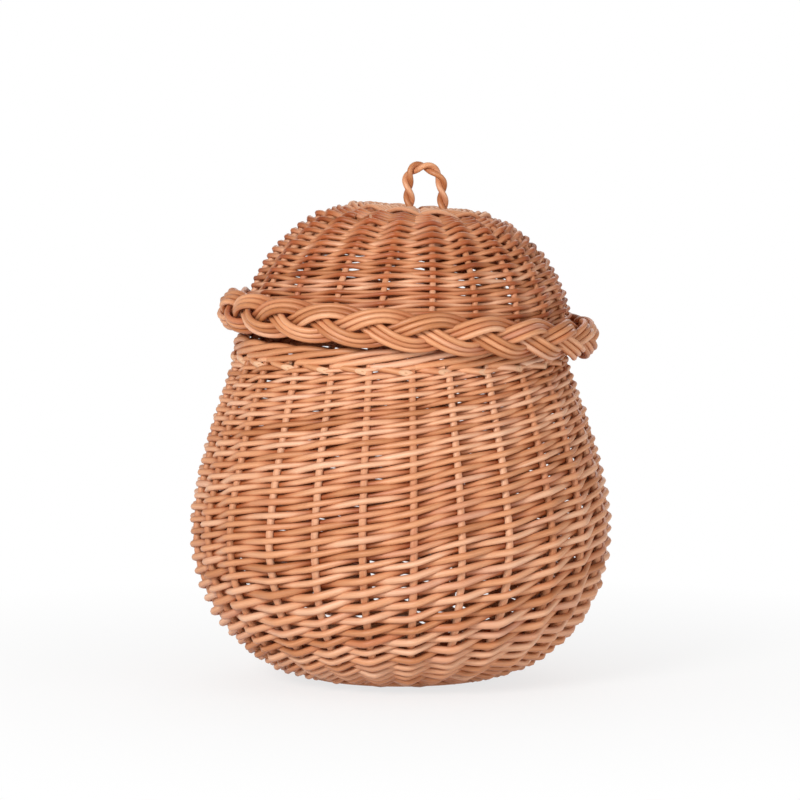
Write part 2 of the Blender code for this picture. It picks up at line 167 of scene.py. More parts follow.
# Discs of the base and of the lid's top: two rods twined round sticks, round after round. Spacings are shares
# of a stick's thickness, the twine is a share of a rod's, and the fan is (share of the way from the middle to
# the edge, share of the spread)
DISC_STICKS = 6
DISC_STICK_THICKNESS = 0.0042
DISC_STICK_SPACING = 1.04
DISC_LAYER_SPACING = 0.7
DISC_FAN = ((-1.0, 1.0), (-0.35, 0.15), (0.0, 0.0), (0.35, 0.15), (1.0, 1.0))
DISC_FAN_STEPS = 6
DISC_ROD_THICKNESS = 0.0031
DISC_ROUND_PITCH = 0.0052
DISC_FIRST_RADIUS = 0.0140
DISC_TWINE = 0.42
DISC_STEPS_PER_ARM = 6

# Loop on the lid: one rod doubled back and twisted on itself, where the twist's radius is a share of the
# rod's thickness
LOOP_SPAN = 0.0240
LOOP_RISE = 0.0283
LOOP_LEAN_SHARE = 0.16
LOOP_OFFSET = 0.0060
LOOP_ROD_THICKNESS = 0.0042
LOOP_TWIST_SHARE = 0.49
LOOP_TURNS = 3.5
LOOP_FOOT_DEPTH = 0.0070
LOOP_POINTS = 90

# How uneven hand work is. The waves of a rod are counted in stakes, those of a stake are in metres, and one
# of a row is (size, times round the wall, turn over the way up, start)
STAKE_SHIFT = 0.016
STAKE_LEAN = 0.020
STAKE_RIPPLE = 0.00040
STAKE_WAVES = (0.11, 0.05)
ROD_DRIFT = 0.00038
ROD_WAVES = (9.3, 4.1, 2.3)
ROD_DEPTH_WAVES = (5.7, 3.1)
BEND_DRIFT = 0.05
BEND_WAVES = (3.7, 2.3)
BORDER_WAVES = (3.3, 1.9)
BORDER_DEPTH_WAVES = (2.9, 1.7)
ROW_DRIFT = 0.0011
ROW_WAVES = ((1.0, 2, 5, 0), (0.7, 5, -9, 0), (0.5, 11, 0, 3))
THICKNESS_SPREAD = 0.11
TONE_SPREAD = 0.2
TONE_LIMITS = (0.05, 0.95)
GRAIN_SPREAD = 50.0

# Seeds: that of a rand times that of the kind of rod, or that of the piece. The last ones are added, for a
# rod's further draws, a disc's rounds and each next bundle of the plait
BODY_SEED, LID_SEED = 11, 23
ROD_SEEDS, STAKE_SEEDS, WALE_SEEDS = 1000, 2000, 3000
BASE_SEED, LID_TOP_SEED = 3100, 3300
BORDER_SEED, PLAIT_SEED, LOOP_SEED = 7000, 9000, 9500
BORDER_UP_SEED, DEPTH_SEED, BEND_SEED = 300, 500, 700
DISC_ROUND_SEED, BUNDLE_SEED = 50, 10

# How sharply rods bend at a stake, as a share of the way to the next, and the places of a tube's rings there
BEND_SHARE = 0.10
RING_SHARES = (0.0, 0.09, 0.2, 0.5, 0.8, 0.91)

# Fineness of the tubes
STEPS_PER_STAKE = 7
STAKE_POINTS_PER_ROD = 3
ROD_SIDES = 8
THICK_ROD_SIDES = 10
LOOP_ROD_SIDES = 12
SMOOTH_ANGLE = radians(62)

# Colours of peeled willow, from the deepest tone of a rod to the palest, and of a cut end
DEEP = (0.46, 0.165, 0.055)
MIDDLE = (0.73, 0.342, 0.168)
PALE = (0.90, 0.565, 0.375)
STAKE_MIDDLE, STAKE_PALE = (0.76, 0.375, 0.195), (0.90, 0.56, 0.36)
RIM_MIDDLE = (0.74, 0.345, 0.165)
BASE_MIDDLE, BASE_PALE = (0.70, 0.315, 0.148), (0.86, 0.51, 0.32)
WOOD, PITH = (0.84, 0.49, 0.29), (0.60, 0.30, 0.16)
EVEN_TONE = 0.5
LID_TONE = 0.40

# Willow's grain: each noise is (waves to a metre along the rod, times as many across it, detail), each weight
# is what a noise adds to the tone or the roughness, and each list of stops is (noise, share of the effect)
PATCH_NOISE, PATCH_WEIGHT = (9.0, 3.0, 2.0), 0.9
STREAK_NOISE, STREAK_WEIGHT, STREAK_ROUGHNESS = (28.0, 30.0, 4.0), 0.5, 0.22
FLECK_NOISE, FLECK_RELIEF = (260.0, 3.0, 3.0), 0.4
CUT_NOISE, CUT_WEIGHT = (1500.0, 1.0, 2.0), 0.3
TONE_STOPS = (0.05, 0.5, 0.95)
CUT_STOPS = (0.25, 0.45, 1.0)
RED_STOPS, RED_TINT = ((0.56, 0.0), (0.74, 0.55)), (1.0, 0.62, 0.6)
FLECK_STOPS, FLECK_TINT = ((0.66, 0.0), (0.78, 0.4)), (0.55, 0.40, 0.30)
CUT_EDGE_SHADE = 0.86
CUT_ROUGHNESS = 0.75
BUMP_STRENGTH = 0.35
BUMP_DISTANCE = 0.0004
REFRACTION = 1.45

# Painted shade: hollows, where a rod lies on a stake or on the next rod, are painted darker and redder, for the
# less and redder light that reaches them
PAINTED_SHADE_TINT = (0.56, 0.27, 0.11)
SIDE_PAINTED_SHADE = 0.45

# Floor: what the camera sees of it is partly plain white, from a share near the basket to all further off
FLOOR_RADIUS = 6.0
FLOOR_SIDES = 96
FLOOR_GREY = 0.92
FLOOR_WHITE_SHARE = 0.75
FLOOR_FADE = (0.10, 0.55)

# Light: the world's share, where the lamps point, and each lamp's name, place, width and power
WORLD_LIGHT = 0.42
LIT_PLACE = Vector((0.0, 0.0, 0.17))
LAMPS = (
    ("key", (-1.15, -2.15, 1.2), 1.0, 48.0),
    ("fill", (1.9, -1.4, 0.6), 1.6, 14.0),
    ("rear", (0.3, 2.4, 1.5), 2.0, 16.0),
)


# Frame


BODY_STAKE_NODES = [f"side_stake_{number + 1:02d}" for number in range(BODY_STAKES)]
BODY_BANDS = ["upsett", "lower_siding", "middle_siding", "upper_siding", "shoulder_siding"]
LID_STAKE_NODES = [f"lid_stake_{number + 1:02d}" for number in range(LID_STAKES)]
LID_BANDS = ["lid_crown_weave", "lid_side_weave"]
PLAIT_NODES = [f"lid_plait_strand_{number + 1}" for number in range(PLAIT_BUNDLES)]


def joint_box(*names):
    """Lowest and highest corner of several CAD nodes together."""
    boxes = [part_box(name) for name in names]
    low = np.min([low for low, _ in boxes], axis=0)
    high = np.max([high for _, high in boxes], axis=0)
    return low, high


def bearing_of(name, centre):
    """Direction of a CAD node's middle, seen from a centre in plan."""
    low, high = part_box(name)
    middle = (low + high) / 2 - Vector(centre)
    return atan2(middle.y, middle.x)


def bearings_round(names, centre, turn):
    """Directions of nodes counted on round the wall, one way or the other, so that each is past the last."""
    bearings = [turn * bearing_of(name, centre) for name in names]
    return [bearing % (2 * pi) if number else bearing for number, bearing in enumerate(bearings)]


# Materials


def new_material(name):
    """A material, its nodes and its links."""
    material = bpy.data.materials.new(name)
    material.use_nodes = True
    return material, material.node_tree.nodes, material.node_tree.links


def attribute(nodes, name, output):
    """A value that every rod's mesh carries."""
    node = nodes.new("ShaderNodeAttribute")
    node.attribute_name = name
    return node.outputs[output]


def noise(nodes, links, vector, scale, stretch, detail):
    """Noise stretched along a rod: scale is to a metre, and stretch is how many times finer it is across."""
    mapping = nodes.new("ShaderNodeMapping")
    mapping.inputs["Scale"].default_value = (scale, scale * stretch, scale * stretch)
    links.new(vector, mapping.inputs["Vector"])
    texture = nodes.new("ShaderNodeTexNoise")
    texture.inputs["Scale"].default_value = 1.0
    texture.inputs["Detail"].default_value = detail
    links.new(mapping.outputs["Vector"], texture.inputs["Vector"])
    return texture.outputs["Fac"]


def ramp(nodes, links, value, stops):
    """Colour ramp from (position, colour) pairs."""
    node = nodes.new("ShaderNodeValToRGB")
    elements = node.color_ramp.elements
    while len(elements) < len(stops):
        elements.new(0.5)
    for element, (position, colour) in zip(elements, stops):
        element.position = position
        element.color = (*colour, 1.0)
    links.new(value, node.inputs["Fac"])
    return node.outputs["Color"]


def greys(stops):
    """Stops of a ramp without colour."""
    return [(position, (level, level, level)) for position, level in stops]


def set_inputs(links, sockets, values):
    """Gives each socket its value: another socket, a colour or a number."""
    for socket, value in zip(sockets, values):
        if isinstance(value, tuple):
            socket.default_value = (*value, 1.0)
        elif isinstance(value, (int, float)):
            socket.default_value = value
        else:
            links.new(value, socket)


def maths(nodes, links, operation, *values):
    """One sum of two or three values, each a socket or a number."""
    node = nodes.new("ShaderNodeMath")
    node.operation = operation
    set_inputs(links, node.inputs, values)
    return node.outputs["Value"]


def swing(nodes, links, value, weight, middle=0.0):
    """A noise value as a swing to both sides of a middle."""
    return maths(nodes, links, "MULTIPLY_ADD", value, weight, middle - weight / 2)


def mix(nodes, links, kind, share, first, second):
    """One mix of two colours."""
    node = nodes.new("ShaderNodeMix")
    node.data_type = "RGBA"
    node.blend_type = kind
    set_inputs(links, (node.inputs["Factor"], node.inputs["A"], node.inputs["B"]), (share, first, second))
    return node.outputs["Result"]


def willow(name, deep, middle, pale, roughness):
    """Peeled willow: a tone for each rod, streaks along it, redder patches, flecks, painted shade in the
    hollows and a satin surface.
    """
    material, nodes, links = new_material(name)
    shader = nodes["Principled BSDF"]
    grain = attribute(nodes, "grain", "Vector")
    patches = noise(nodes, links, grain, *PATCH_NOISE)
    streaks = noise(nodes, links, grain, *STREAK_NOISE)
    flecks = noise(nodes, links, grain, *FLECK_NOISE)

    patch_level = swing(nodes, links, patches, PATCH_WEIGHT)
    level = maths(nodes, links, "ADD", patch_level, attribute(nodes, "tone", "Fac"))
    level = maths(nodes, links, "ADD", level, swing(nodes, links, streaks, STREAK_WEIGHT))
    colour = ramp(nodes, links, level, tuple(zip(TONE_STOPS, (deep, middle, pale))))
    red = tuple(part * share for part, share in zip(deep, RED_TINT))
    colour = mix(nodes, links, "MIX", ramp(nodes, links, patches, greys(RED_STOPS)), colour, red)
    fleck_share = ramp(nodes, links, flecks, greys(FLECK_STOPS))
    colour = mix(nodes, links, "MULTIPLY", fleck_share, colour, FLECK_TINT)
    # Painted shade: darker and redder where the rod lies on a stake or on the next rod
    colour = mix(nodes, links, "MULTIPLY", attribute(nodes, "painted_shade", "Fac"), colour, PAINTED_SHADE_TINT)
    links.new(colour, shader.inputs["Base Color"])

    links.new(swing(nodes, links, streaks, STREAK_ROUGHNESS, roughness), shader.inputs["Roughness"])
    bump = nodes.new("ShaderNodeBump")
    bump.inputs["Strength"].default_value = BUMP_STRENGTH
    bump.inputs["Distance"].default_value = BUMP_DISTANCE
    relief = maths(nodes, links, "MULTIPLY_ADD", flecks, FLECK_RELIEF, streaks)
    links.new(relief, bump.inputs["Height"])
    links.new(bump.outputs["Normal"], shader.inputs["Normal"])
    shader.inputs["IOR"].default_value = REFRACTION
    return material


def cut_willow(name, wood, pith):
    """The cut end of a rod: paler wood round a darker pith, with a shaded edge."""
    material, nodes, links = new_material(name)
    shader = nodes["Principled BSDF"]
    speckle = noise(nodes, links, attribute(nodes, "grain", "Vector"), *CUT_NOISE)
    level = maths(nodes, links, "MULTIPLY_ADD", speckle, CUT_WEIGHT, attribute(nodes, "rim", "Fac"))
    edge = tuple(CUT_EDGE_SHADE * part for part in wood)
    colour = ramp(nodes, links, level, tuple(zip(CUT_STOPS, (pith, wood, edge))))
    links.new(colour, shader.inputs["Base Color"])
    shader.inputs["Roughness"].default_value = CUT_ROUGHNESS
    return material


LOOKS = {
    "weave_willow": willow("weave_willow_look", DEEP, MIDDLE, PALE, 0.46),
    "stake_willow": willow("stake_willow_look", DEEP, STAKE_MIDDLE, STAKE_PALE, 0.50),
    "rim_willow": willow("rim_willow_look", DEEP, RIM_MIDDLE, PALE, 0.42),
    "base_willow": willow("base_willow_look", DEEP, BASE_MIDDLE, BASE_PALE, 0.52),
}
CUT_END = cut_willow("willow_cut_end", WOOD, PITH)


# Lines


def unit(vectors):
    """Vectors brought to a length of 1."""
    return vectors / np.linalg.norm(vectors, axis=1)[:, None]


def moved(points, matrix):
    """Points carried by a matrix."""
    turn = np.array(matrix.to_3x3())
    return points @ turn.T + np.array(matrix.translation)


def turned(vectors, matrix):
    """Directions carried by a matrix."""
    return vectors @ np.array(matrix.to_3x3()).T


def around(radius, angle, height):
    """Places round the Z axis."""
    return np.stack((radius * np.cos(angle), radius * np.sin(angle), height), axis=1)


def outward(angle):
    """Directions away from the Z axis."""
    return np.stack((np.cos(angle), np.sin(angle), np.zeros(len(angle))), axis=1)


def smooth_line(points, steps):
    """A smooth curve through points, steps to each stretch."""
    points = np.asarray(points, float)
    padded = np.concatenate((2 * points[:1] - points[1:2], points, 2 * points[-1:] - points[-2:-1]))
    line = []
    for index in range(len(points) - 1):
        p0, p1, p2, p3 = padded[index:index + 4]
        for step in range(steps):
            t = step / steps
            line.append(
                0.5 * (2 * p1 + (p2 - p0) * t + (2 * p0 - 5 * p1 + 4 * p2 - p3) * t**2
                       + (3 * p1 - p0 - 3 * p2 + p3) * t**3)
            )
    line.append(points[-1])
    return np.array(line)


def drift(seed, places, size, lengths):
    """A smooth uneven line: a sum of waves of these lengths, with chance phases."""
    chance = Random(seed)
    total = np.zeros(len(places))
    for length in lengths:
        total += np.sin(2 * pi * places / length + chance.uniform(0, 2 * pi))
    return size * total / len(lengths) ** 0.5


# Rods


def tube_points(places, radii, facing, turns, slant):
    """Corners of a tube's rings, where the first of each faces one way, and then the middles of its ends."""
    ahead = unit(np.gradient(places, axis=0))
    facing = np.broadcast_to(facing, places.shape)
    out = unit(facing - (facing * ahead).sum(1)[:, None] * ahead)
    side = np.cross(ahead, out)
    round_out = np.cos(turns)[None, :, None] * out[:, None, :] + np.sin(turns)[None, :, None] * side[:, None, :]
    corners = places[:, None, :] + radii[:, None, None] * round_out
    corners[-1] += slant * radii[-1] * np.cos(turns)[:, None] * ahead[-1]
    return np.concatenate((corners.reshape(-1, 3), places[:1], places[-1:]))


def tube_faces(rings, sides):
    """Faces of a tube of rings, and of the fans that close it round the middles of its ends."""
    faces = []
    for ring in range(rings - 1):
        start = ring * sides
        for side in range(sides):
            after = (side + 1) % sides
            faces.append((start + side, start + after, start + sides + after, start + sides + side))
    first, last = rings * sides, rings * sides + 1
    end = (rings - 1) * sides
    for side in range(sides):
        after = (side + 1) % sides
        faces.append((side, first, after))
        faces.append((end + after, last, end + side))
    return faces


def paint(mesh, places, radii, turns, crossings, tone, seed):
    """What the willow reads at each corner: the place in the grain, the rod's tone, painted shade in the
    hollows and a cut's rim.
    """
    chance = Random(seed)
    sides = len(turns)
    corners = len(places) * sides + 2
    walked = np.concatenate(([0.0], np.cumsum(np.linalg.norm(np.diff(places, axis=0), axis=1))))
    grain = np.empty((corners, 3))
    grain[:-2, 0] = np.repeat(walked, sides)
    grain[:-2, 1] = (radii[:, None] * np.cos(turns)).ravel()
    grain[:-2, 2] = (radii[:, None] * np.sin(turns)).ravel()
    grain[-2:] = ((0.0, 0.0, 0.0), (walked[-1], 0.0, 0.0))
    grain += [chance.uniform(0.0, GRAIN_SPREAD) for _ in range(3)]
    tones = np.full(corners, np.clip(chance.gauss(tone, TONE_SPREAD), *TONE_LIMITS))
    rim = np.ones(corners)
    rim[-2:] = 0.0
    crossings = np.broadcast_to(crossings, len(places))
    # Painted shade: the side that lies on a stake, and the upper and lower sides next to the other rods
    painted_shade = np.clip(-crossings[:, None] * np.cos(turns), 0.0, 1.0) + SIDE_PAINTED_SHADE * np.sin(turns) ** 2
    painted_shade = np.concatenate((np.minimum(painted_shade, 1.0).ravel(), (0.0, 0.0)))
    mesh.attributes.new("grain", "FLOAT_VECTOR", "POINT").data.foreach_set("vector", grain.ravel())
    for name, values in (("painted_shade", painted_shade), ("tone", tones), ("rim", rim)):
        mesh.attributes.new(name, "FLOAT", "POINT").data.foreach_set("value", values)


def rod(
    name, places, radii, facing, slot, seed, body, nodes, sides=ROD_SIDES, slant=0.0, crossings=0.0,
    tone=EVEN_TONE,
):
    """A willow rod: a closed tube along places. Its crossings, 1 in front of a stake and -1 behind one, say
    where its painted shade falls.
    """
    turns = np.arange(sides) * 2 * pi / sides
    faces = tube_faces(len(places), sides)
    mesh = bpy.data.meshes.new(name)
    mesh.from_pydata(tube_points(places, radii, facing, turns, slant).tolist(), [], faces)
    mesh.shade_smooth()
    mesh.set_sharp_from_angle(angle=SMOOTH_ANGLE)
    mesh.materials.append(LOOKS[slot])
    mesh.materials.append(CUT_END)
    caps = np.zeros(len(faces), np.int32)
    caps[-2 * sides:] = 1
    mesh.polygons.foreach_set("material_index", caps)
    paint(mesh, places, radii, turns, crossings, tone, seed)

    piece = bpy.data.objects.new(name, mesh)
    bpy.context.scene.collection.objects.link(piece)
    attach(piece, body)
    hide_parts(*nodes)
    return piece


# Walls


class Wall:
    """A wall line in radius and height, read by its length from the foot."""

    def __init__(self, radius, height):
        self.radius = radius
        self.height = height
        steps = np.hypot(np.diff(self.radius), np.diff(self.height))
        self.lengths = np.concatenate(([0.0], np.cumsum(steps)))
        self.length = self.lengths[-1]
        self.slope_out = np.gradient(self.radius, self.lengths)
        self.slope_up = np.gradient(self.height, self.lengths)

    def at(self, lengths, out):
        """Radius and height at these lengths, moved square off the wall by out."""
        share_out = np.interp(lengths, self.lengths, self.slope_out)
        share_up = np.interp(lengths, self.lengths, self.slope_up)
        radius = np.interp(lengths, self.lengths, self.radius) + share_up * out
        return radius, np.interp(lengths, self.lengths, self.height) - share_out * out


def body_wall(base_radius, heel_height, belly_radius, mouth_radius, mouth_height):
    """The body's stakes, from the base edge out round the heel to the belly, then in to the mouth."""
    heel_radius = base_radius - HEEL_INSET
    turn = np.linspace(0.0, pi / 2, WALL_POINTS)
    rise = np.linspace(0.0, 1.0, WALL_POINTS)[1:]
    low_radius = heel_radius + (belly_radius - heel_radius) * np.sin(turn) ** (2 * HEEL_SPREAD)
    low_height = BELLY_HEIGHT - (BELLY_HEIGHT - heel_height) * np.clip(np.cos(turn), 0, 1) ** (2 / HEEL_ROUND)
    high_radius = belly_radius - (belly_radius - mouth_radius) * rise**SHOULDER_ROUND
    high_height = BELLY_HEIGHT + (mouth_height - BELLY_HEIGHT) * rise
    start = int(np.argmax(low_radius >= base_radius))
    radius = np.concatenate((low_radius[start:], high_radius))
    return Wall(radius, np.concatenate((low_height[start:], high_height)))


def lid_wall():
    """The lid's stakes, from the edge of its top over the dome, down to the rim and out to the plait."""
    crown_radius = LID_TOP_RADIUS - LID_CROWN_INSET
    turn = np.linspace(0.0, pi / 2, WALL_POINTS)
    radius = crown_radius + (LID_RADIUS - crown_radius) * np.sin(turn) ** (2 * LID_SPREAD)
    height = LID_HEIGHT * np.clip(np.cos(turn), 0, 1) ** (2 / LID_ROUND)
    dome = (radius >= LID_TOP_RADIUS) & (height > FLARE_HEIGHT)
    radius, height = radius[dome], height[dome]
    flare = np.linspace(0.0, pi / 2, FLARE_POINTS)[1:]
    reach = LID_RADIUS + FLARE_REACH - radius[-1]
    flare_radius = radius[-1] + reach * (1 - np.cos(flare))
    flare_height = height[-1] - (height[-1] + FLARE_DROP) * np.sin(flare)
    return Wall(np.concatenate((radius, flare_radius)), np.concatenate((height, flare_height)))


# Weave


def row_value(rows, column, share):
    """A value of the rows at a share of the way up."""
    return np.interp(share, [row[0] for row in rows], [row[column] for row in rows])


def crossing(places):
    """How far out a rod is, from 1 in front of a stake to -1 behind the next, straight between its bends."""
    part = np.abs((places + 1) % 2 - 1)
    near = np.minimum(part, 1 - part)
    round_off = np.hypot(near, BEND_SHARE)
    furthest = np.hypot(0.5, BEND_SHARE)
    share = (furthest - round_off) / (furthest - BEND_SHARE)
    return np.where(part < 0.5, share, -share)


def risen(angle, height, mouth_height):
    """Heights on a wall whose mouth isn't level: little changes low down, most near the mouth."""
    share = np.clip((height - RIM_RISE_FROM) / (mouth_height - RIM_RISE_FROM), 0.0, 1.0) ** 2
    return height + RIM_RISE * share * (1 - np.cos(angle - RIM_LOW_BEARING)) / 2


class Rand:
    """A rand: rods set off evenly round the wall, each in front of the stakes and behind them by turns.

    It goes round one way or the other (turn), from start to end, which are lengths from the wall's foot. Its
    matrix carries it from the wall's own frame. A mouth height is given where the mouth isn't level.
    """

    def __init__(
        self, wall, turn, bearings, rod_count, start, end, rows, stake_sizes, seed, body, matrix,
        tone=EVEN_TONE, mouth_height=None,
    ):
        self.wall = wall
        self.turn = turn
        self.count = len(bearings)
        self.rod_count = rod_count
        self.rows = rows
        self.stake_sizes = stake_sizes
        self.seed = seed
        self.body = body
        self.matrix = matrix
        self.tone = tone
        self.mouth_height = mouth_height
        chance = Random(seed)
        self.bearings = [bearing + chance.uniform(-STAKE_SHIFT, STAKE_SHIFT) for bearing in bearings]
        self.leans = [chance.uniform(-STAKE_LEAN, STAKE_LEAN) for _ in bearings]
        self.places, self.lengths = self.climb(start, end)

    def climb(self, start, end):
        """Places of a rod and how far up the wall it is at each."""
        places, lengths = [-1.0], [start]
        while lengths[-1] < end:
            row = row_value(self.rows, ROW_HEIGHT, lengths[-1] / self.wall.length)
            lengths.append(lengths[-1] + row * self.rod_count / self.count / 2 / STEPS_PER_STAKE)
            places.append(places[-1] + 1 / STEPS_PER_STAKE)
        return np.array(places), np.array(lengths)

    def bearing(self, places, lengths):
        """Direction in plan at places counted in stakes, which follows each stake's own shift and lean."""
        before = np.floor(places).astype(int)
        part = places - before
        lean_share = lengths / self.wall.length - 0.5
        angles = []
        for stakes in (before, before + 1):
            rounds, numbers = np.divmod(stakes, self.count)
            bearing = np.take(self.bearings, numbers) + 2 * pi * rounds
            angles.append(bearing + np.take(self.leans, numbers) * lean_share)
        return self.turn * (angles[0] * (1 - part) + angles[1] * part)

    def raised(self, angle, height):
        """Heights, higher near a mouth that isn't level."""
        return height if self.mouth_height is None else risen(angle, height, self.mouth_height)

    def rod_size(self, lengths):
        """Thickness of the rods at these lengths of the wall."""
        return row_value(self.rows, ROD_THICKNESS, lengths / self.wall.length)

    def press(self, lengths):
        """How far the stakes press the rods out and in at these lengths of the wall."""
        return row_value(self.rows, PRESS, lengths / self.wall.length)

    def stake_size(self, lengths):
        """Thickness of the stakes at these lengths of the wall."""
        return np.interp(lengths / self.wall.length, (0.0, 1.0), self.stake_sizes)

    def row_drift(self, angle, lengths):
        """How far all rows wander up and down together, here and there on the wall."""
        share = lengths / self.wall.length
        waves = sum(
            size * np.sin(times * angle + turn * share + start) for size, times, turn, start in ROW_WAVES
        )
        return ROW_DRIFT * waves * np.clip(4 * share * (1 - share), 0, 1)

    def lay(self, name, radius, angle, height, radii, seed, nodes, crossings):
        """One rod of the weave, which is in front where its crossings are 1."""
        line = moved(around(radius, angle, self.raised(angle, height)), self.matrix)
        facing = turned(outward(angle), self.matrix)
        rod(
            name, line, radii, facing, "weave_willow", seed, self.body, nodes, crossings=crossings,
            tone=self.tone,
        )

    def weave(self, name, nodes):
        """The rods, each of which starts a little further round than the last, and climbs."""
        gap = 2 * pi / self.count
        for number in range(self.rod_count):
            seed = self.seed * ROD_SEEDS + number
            size = 1 + Random(seed).uniform(-THICKNESS_SPREAD, THICKNESS_SPREAD)
            start = number * self.count / self.rod_count
            stakes = np.arange(np.floor(start + self.places[0]), start + self.places[-1] + 1)
            places = (stakes[:, None] + np.array(RING_SHARES)).ravel() - start
            places = places[(places > self.places[0]) & (places < self.places[-1])]
            places = np.concatenate((self.places[:1], places, self.places[-1:]))
            level = np.interp(places, self.places, self.lengths)
            angle = self.bearing(places + start, level)
            lengths = level + self.row_drift(angle, level) + drift(seed, places, ROD_DRIFT, ROD_WAVES)
            radii = self.rod_size(level) / 2 * size
            reach = self.press(level) * (self.stake_size(level) / 2 + radii)
            bends = drift(seed + BEND_SEED, places, BEND_DRIFT, BEND_WAVES)
            crossings = crossing(places + start - number + bends)
            out = reach * crossings + drift(seed + DEPTH_SEED, places, ROD_DRIFT, ROD_DEPTH_WAVES)
            radius, height = self.wall.at(lengths, out)
            part = (places + start) % 1
            radius = radius * cos(gap / 2) / np.cos((part - 0.5) * gap)
            self.lay(f"{name}_{number + 1:02d}", radius, angle, height, radii, seed, nodes, crossings)

    def wale(self, name, size, pitch, rounds, depth, nodes):
        """Rods side by side that go in front of two stakes and behind the next."""
        for number in range(WALE_RODS):
            seed = self.seed * WALE_SEEDS + number
            places = np.arange(0.0, self.count * rounds, 1 / STEPS_PER_STAKE)
            lengths = WALE_FIRST_ROW + pitch * places / self.count
            crossings = np.interp(places % WALE_RODS, range(WALE_RODS + 1), WALE_CROSSINGS)
            radii = np.full(len(places), size / 2)
            reach = depth * self.press(lengths) * (self.stake_size(lengths) + size) / 2
            angle = self.bearing(places + number, lengths)
            radius, height = self.wall.at(lengths, reach * crossings)
            self.lay(f"{name}_{number + 1}", radius, angle, height, radii, seed, nodes, crossings)

    def stakes(self, name, foot, nodes):
        """The stakes from their foot in the disc, pushed in and out a little by the rods that pass them."""
        lengths = np.linspace(0.0, self.wall.length, STAKE_POINTS_PER_ROD * int(self.places[-1]))
        passed = np.interp(lengths, self.lengths, self.places)
        for number, node in enumerate(nodes):
            seed = self.seed * STAKE_SEEDS + number
            rods_by = (number - passed) * self.rod_count / self.count
            out = -STAKE_RIPPLE * np.cos(pi * (number - rods_by)) + drift(seed, lengths, ROD_DRIFT, STAKE_WAVES)
            radius, height = self.wall.at(lengths, out)
            angle = self.bearing(np.full(len(lengths), float(number)), lengths)
            radius = np.concatenate(([foot[0]], radius))
            height = np.concatenate(([foot[1]], height))
            angle = np.concatenate((angle[:1], angle))
            radii = self.stake_size(np.concatenate(([0.0], lengths))) / 2
            line = moved(around(radius, angle, self.raised(angle, height)), self.matrix)
            aside = turned(outward(angle + pi / 2), self.matrix)
            rod(f"{name}_{number + 1:02d}", line, radii, aside, "stake_willow", seed, self.body, (node,))


# Discs


def disc_sticks(name, radius, middle, bearing, body, node, matrix, seed):
    """Two layers of sticks, crossed in the middle, whose arms fan out to the disc's edge."""
    half = DISC_STICKS // 2
    for layer in (0, 1):
        along = bearing + layer * pi / 2
        lift = (layer - 0.5) * DISC_STICK_THICKNESS * DISC_LAYER_SPACING
        for stick in range(half):
            aside = (stick - (half - 1) / 2) * DISC_STICK_THICKNESS * DISC_STICK_SPACING
            spread = (stick - (half - 1) / 2) * pi / 2 / half
            points = []
            for share, fanned in DISC_FAN:
                turn = along + spread * fanned * (1 if share >= 0 else -1)
                reach = share * (radius - DISC_STICK_THICKNESS)
                x = reach * cos(turn) - aside * (1 - fanned) * sin(along)
                y = reach * sin(turn) + aside * (1 - fanned) * cos(along)
                points.append((x, y, middle + lift * (1 - fanned)))
            line = moved(smooth_line(points, DISC_FAN_STEPS), matrix)
            radii = np.full(len(line), DISC_STICK_THICKNESS / 2)
            up = turned(np.array([[0.0, 0.0, 1.0]]), matrix)
            number = layer * half + stick + 1
            rod(f"{name}_stick_{number}", line, radii, up, "base_willow", seed + number, body, (node,))


def disc_rounds(name, radius, middle, bearing, body, node, matrix, seed):
    """Two rods twined round the arms, from the middle to the edge."""
    arms = 2 * DISC_STICKS
    rounds = (radius - DISC_ROD_THICKNESS / 2 - DISC_FIRST_RADIUS) / DISC_ROUND_PITCH
    places = np.arange(0.0, arms * rounds, 1 / DISC_STEPS_PER_ARM)
    reach = (DISC_STICK_THICKNESS + DISC_ROD_THICKNESS) / 2
    for side in (0, 1):
        roll = pi * places + pi * side
        twine = DISC_TWINE * DISC_ROD_THICKNESS * np.sin(roll)
        out = DISC_FIRST_RADIUS + DISC_ROUND_PITCH * places / arms + twine
        angle = bearing + 2 * pi * places / arms + pi / arms
        line = moved(around(out, angle, middle + reach * np.cos(roll)), matrix)
        radii = np.full(len(line), DISC_ROD_THICKNESS / 2)
        up = turned(np.array([[0.0, 0.0, 1.0]]), matrix)
        own_seed = seed + DISC_ROUND_SEED + side
        rod(f"{name}_round_{side + 1}", line, radii, up, "base_willow", own_seed, body, (node,))


# Border


def border(rand, core_radius, core_height):
    """The rolled border: one rod for each stake, alike but for its drift, round the rim's middle line."""
    turns = smooth_line(BORDER_TURNS, BORDER_STEPS)
    sizes = BORDER_SIZES[0] + (BORDER_SIZES[1] - BORDER_SIZES[0]) * np.linspace(0.0, 1.0, len(turns))
    for number in range(BODY_STAKES):
        seed = BORDER_SEED + number
        places = turns[:, 0] + number
        angle = rand.bearing(places, np.full(len(places), rand.wall.length))
        uneven_out = drift(seed, turns[:, 0], ROD_DRIFT, BORDER_DEPTH_WAVES)
        uneven_up = drift(seed + BORDER_UP_SEED, turns[:, 0], ROD_DRIFT, BORDER_WAVES)
        radius = core_radius + BORDER_SWING_OUT * turns[:, 1] + uneven_out
        height = core_height + BORDER_SWING_UP * turns[:, 2] + uneven_up
        line = around(radius, angle, risen(angle, height, core_height))
        # The rings that the slanted cut would pass are left out
        kept = np.linalg.norm(line - line[-1], axis=1) > BORDER_CUT_SLANT * sizes[-1] / 2
        kept[-1] = True
        rod(
            f"border_rod_{number + 1:02d}", line[kept], sizes[kept] / 2, outward(angle[kept]), "rim_willow",
            seed, "basket", ("rim_border",), THICK_ROD_SIDES, slant=-BORDER_CUT_SLANT,
        )


# Plait


